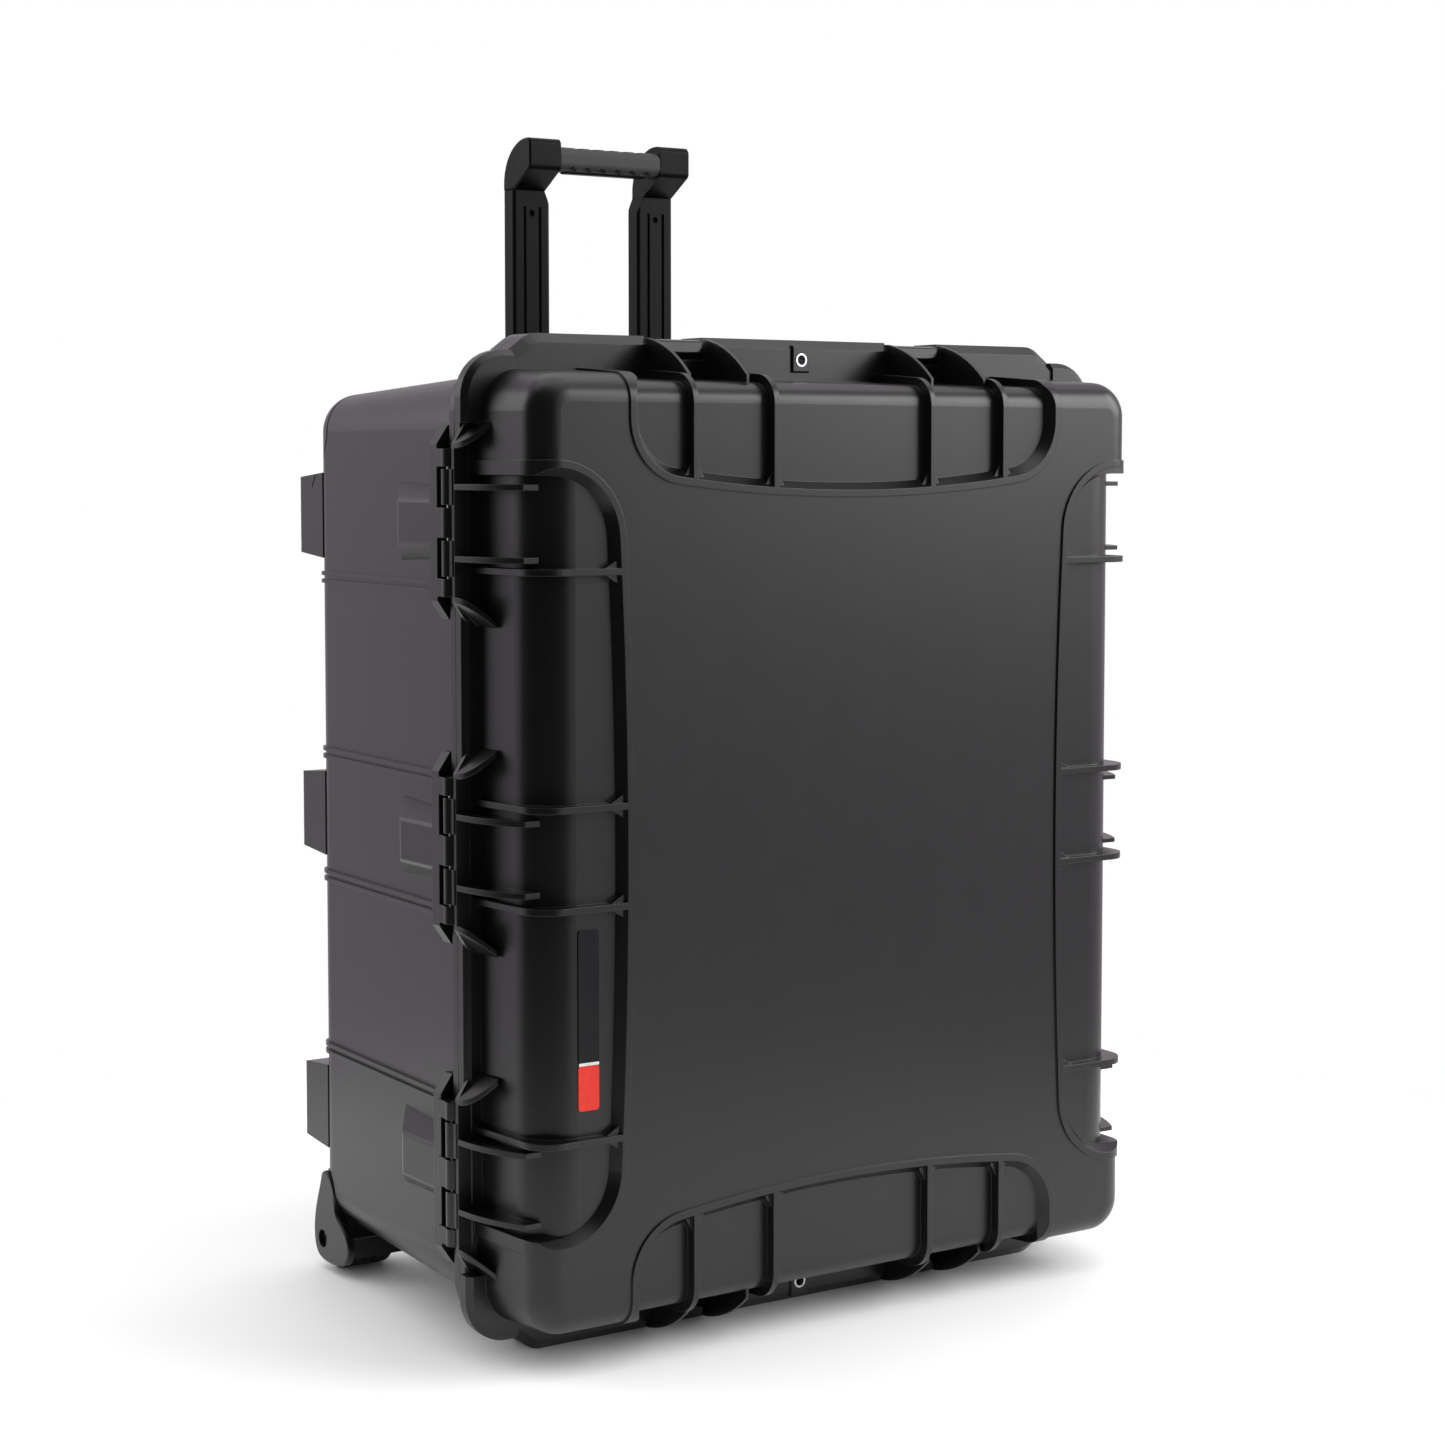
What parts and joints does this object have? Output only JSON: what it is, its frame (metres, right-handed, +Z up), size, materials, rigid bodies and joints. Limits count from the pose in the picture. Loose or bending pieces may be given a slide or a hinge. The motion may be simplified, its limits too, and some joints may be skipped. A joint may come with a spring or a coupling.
{
  "type": "wheeled hard equipment case",
  "caption": "Tall wheeled hard-shell equipment case on end: ribbed hinged lid, swing latches, fold-flat carry handles, two rear wheels and a sliding trolley handle.",
  "frame": {"origin": "on the floor under the middle of the box around the case, handle drawn out", "axes": "+X to the latch side, -X to the hinges, -Y to the lid front, +Y to the trolley, +Z up"},
  "size_m": [0.696, 0.46, 1.076],
  "materials": {
    "shell_plastic": "fine spark-eroded texture",
    "latch_plastic": "smooth satin",
    "handle_plastic": "fine texture",
    "grip_rubber": "soft matt",
    "seal_rubber": "matt",
    "label_dark": "smooth",
    "label_red": "smooth",
    "steel": "brushed",
    "leg_metal": "black anodised satin",
    "block_plastic": "smooth gloss",
    "sleeve_plastic": "fine texture",
    "tyre_rubber": "matt",
    "wheel_plastic": "moulded"
  },
  "bodies": {
    "base": {"base_shell": "shell_plastic", "base_eyelets": "steel", "hinge_pins": "steel", "latch_pins": "steel", "handle_pins": "steel", "valve_body": "handle_plastic", "valve_cap": "latch_plastic", "housing_panel": "sleeve_plastic", "trolley_sleeve_left": "sleeve_plastic", "trolley_sleeve_right": "sleeve_plastic", "axle_left": "steel", "axle_right": "steel", "wheel_bracket_left": "shell_plastic", "wheel_bracket_right": "shell_plastic", "bracket_screws": "steel"},
    "lid": {"lid_shell": "shell_plastic", "lid_gasket": "seal_rubber", "lid_eyelets": "steel", "label_plate": "label_dark", "label_badge": "label_red"},
    "trolley": {"trolley_leg_left": "leg_metal", "trolley_leg_right": "leg_metal", "trolley_end_block_left": "block_plastic", "trolley_end_block_right": "block_plastic", "grip_core": "block_plastic", "grip_overmould": "grip_rubber"},
    "release": {"release_bar": "block_plastic"},
    "wheel_left": {"tyre_left": "tyre_rubber", "wheel_hub_left": "wheel_plastic", "wheel_bearings_left": "steel"},
    "wheel_right": {"tyre_right": "tyre_rubber", "wheel_hub_right": "wheel_plastic", "wheel_bearings_right": "steel"},
    "latch_right_1": {"latch_right_1": "latch_plastic"},
    "lock_right_1": {"latch_lock_right_1": "handle_plastic"},
    "latch_right_2": {"latch_right_2": "latch_plastic"},
    "lock_right_2": {"latch_lock_right_2": "handle_plastic"},
    "latch_right_3": {"latch_right_3": "latch_plastic"},
    "lock_right_3": {"latch_lock_right_3": "handle_plastic"},
    "latch_top_1": {"latch_top_1": "latch_plastic"},
    "lock_top_1": {"latch_lock_top_1": "handle_plastic"},
    "latch_top_2": {"latch_top_2": "latch_plastic"},
    "lock_top_2": {"latch_lock_top_2": "handle_plastic"},
    "latch_bottom_1": {"latch_bottom_1": "latch_plastic"},
    "lock_bottom_1": {"latch_lock_bottom_1": "handle_plastic"},
    "latch_bottom_2": {"latch_bottom_2": "latch_plastic"},
    "lock_bottom_2": {"latch_lock_bottom_2": "handle_plastic"},
    "handle_top_1": {"carry_handle_top_1": "handle_plastic", "handle_grip_top_1": "grip_rubber"},
    "handle_bottom_1": {"carry_handle_bottom_1": "handle_plastic", "handle_grip_bottom_1": "grip_rubber"},
    "handle_right_1": {"carry_handle_right_1": "handle_plastic", "handle_grip_right_1": "grip_rubber"},
    "handle_right_2": {"carry_handle_right_2": "handle_plastic", "handle_grip_right_2": "grip_rubber"}
  },
  "joints": [
    {"name": "lid_hinge", "type": "hinge", "parent": "base", "child": "lid", "pos_m": [-0.341, -0.118, 0.436], "axis": [0, 0, -1], "range_deg": [0, 100]},
    {"name": "trolley_slide", "type": "slide", "parent": "base", "child": "trolley", "axis": [0, 0, 1], "range_m": [-0.22, 0]},
    {"name": "release_press", "type": "slide", "parent": "trolley", "child": "release", "axis": [0, 0, 1], "range_m": [0, 0.004], "stiffness_N_per_m": 600, "springref_m": -0.002},
    {"name": "wheel_left_spin", "type": "hinge", "parent": "base", "child": "wheel_left", "pos_m": [-0.279, 0.187, 0.03], "axis": [1, 0, 0], "continuous": true},
    {"name": "wheel_right_spin", "type": "hinge", "parent": "base", "child": "wheel_right", "pos_m": [0.279, 0.187, 0.03], "axis": [1, 0, 0], "continuous": true},
    {"name": "latch_right_1_swing", "type": "hinge", "parent": "base", "child": "latch_right_1", "pos_m": [0.341, -0.06, 0.159], "axis": [0, 0, 1], "range_deg": [0, 75]},
    {"name": "lock_right_1_slide", "type": "slide", "parent": "latch_right_1", "child": "lock_right_1", "axis": [0, 1, 0], "range_m": [0, 0.005], "stiffness_N_per_m": 300, "springref_m": -0.002},
    {"name": "latch_right_2_swing", "type": "hinge", "parent": "base", "child": "latch_right_2", "pos_m": [0.341, -0.06, 0.436], "axis": [0, 0, 1], "range_deg": [0, 75]},
    {"name": "lock_right_2_slide", "type": "slide", "parent": "latch_right_2", "child": "lock_right_2", "axis": [0, 1, 0], "range_m": [0, 0.005], "stiffness_N_per_m": 300, "springref_m": -0.002},
    {"name": "latch_right_3_swing", "type": "hinge", "parent": "base", "child": "latch_right_3", "pos_m": [0.341, -0.06, 0.713], "axis": [0, 0, 1], "range_deg": [0, 75]},
    {"name": "lock_right_3_slide", "type": "slide", "parent": "latch_right_3", "child": "lock_right_3", "axis": [0, 1, 0], "range_m": [0, 0.005], "stiffness_N_per_m": 300, "springref_m": -0.002},
    {"name": "latch_top_1_swing", "type": "hinge", "parent": "base", "child": "latch_top_1", "pos_m": [-0.13, -0.06, 0.857], "axis": [-1, 0, 0], "range_deg": [0, 75]},
    {"name": "lock_top_1_slide", "type": "slide", "parent": "latch_top_1", "child": "lock_top_1", "axis": [0, 1, 0], "range_m": [0, 0.005], "stiffness_N_per_m": 300, "springref_m": -0.002},
    {"name": "latch_top_2_swing", "type": "hinge", "parent": "base", "child": "latch_top_2", "pos_m": [0.13, -0.06, 0.857], "axis": [-1, 0, 0], "range_deg": [0, 75]},
    {"name": "lock_top_2_slide", "type": "slide", "parent": "latch_top_2", "child": "lock_top_2", "axis": [0, 1, 0], "range_m": [0, 0.005], "stiffness_N_per_m": 300, "springref_m": -0.002},
    {"name": "latch_bottom_1_swing", "type": "hinge", "parent": "base", "child": "latch_bottom_1", "pos_m": [-0.13, -0.06, 0.015], "axis": [1, 0, 0], "range_deg": [0, 75]},
    {"name": "lock_bottom_1_slide", "type": "slide", "parent": "latch_bottom_1", "child": "lock_bottom_1", "axis": [0, 1, 0], "range_m": [0, 0.005], "stiffness_N_per_m": 300, "springref_m": -0.002},
    {"name": "latch_bottom_2_swing", "type": "hinge", "parent": "base", "child": "latch_bottom_2", "pos_m": [0.13, -0.06, 0.015], "axis": [1, 0, 0], "range_deg": [0, 75]},
    {"name": "lock_bottom_2_slide", "type": "slide", "parent": "latch_bottom_2", "child": "lock_bottom_2", "axis": [0, 1, 0], "range_m": [0, 0.005], "stiffness_N_per_m": 300, "springref_m": -0.002},
    {"name": "handle_top_1_fold", "type": "hinge", "parent": "base", "child": "handle_top_1", "pos_m": [0, -0.082, 0.849], "axis": [1, 0, 0], "range_deg": [0, 95]},
    {"name": "handle_bottom_1_fold", "type": "hinge", "parent": "base", "child": "handle_bottom_1", "pos_m": [0, -0.082, 0.023], "axis": [-1, 0, 0], "range_deg": [0, 95]},
    {"name": "handle_right_1_fold", "type": "hinge", "parent": "base", "child": "handle_right_1", "pos_m": [0.333, -0.082, 0.2975], "axis": [0, 0, -1], "range_deg": [0, 95]},
    {"name": "handle_right_2_fold", "type": "hinge", "parent": "base", "child": "handle_right_2", "pos_m": [0.333, -0.082, 0.5745], "axis": [0, 0, -1], "range_deg": [0, 95]}
  ]
}
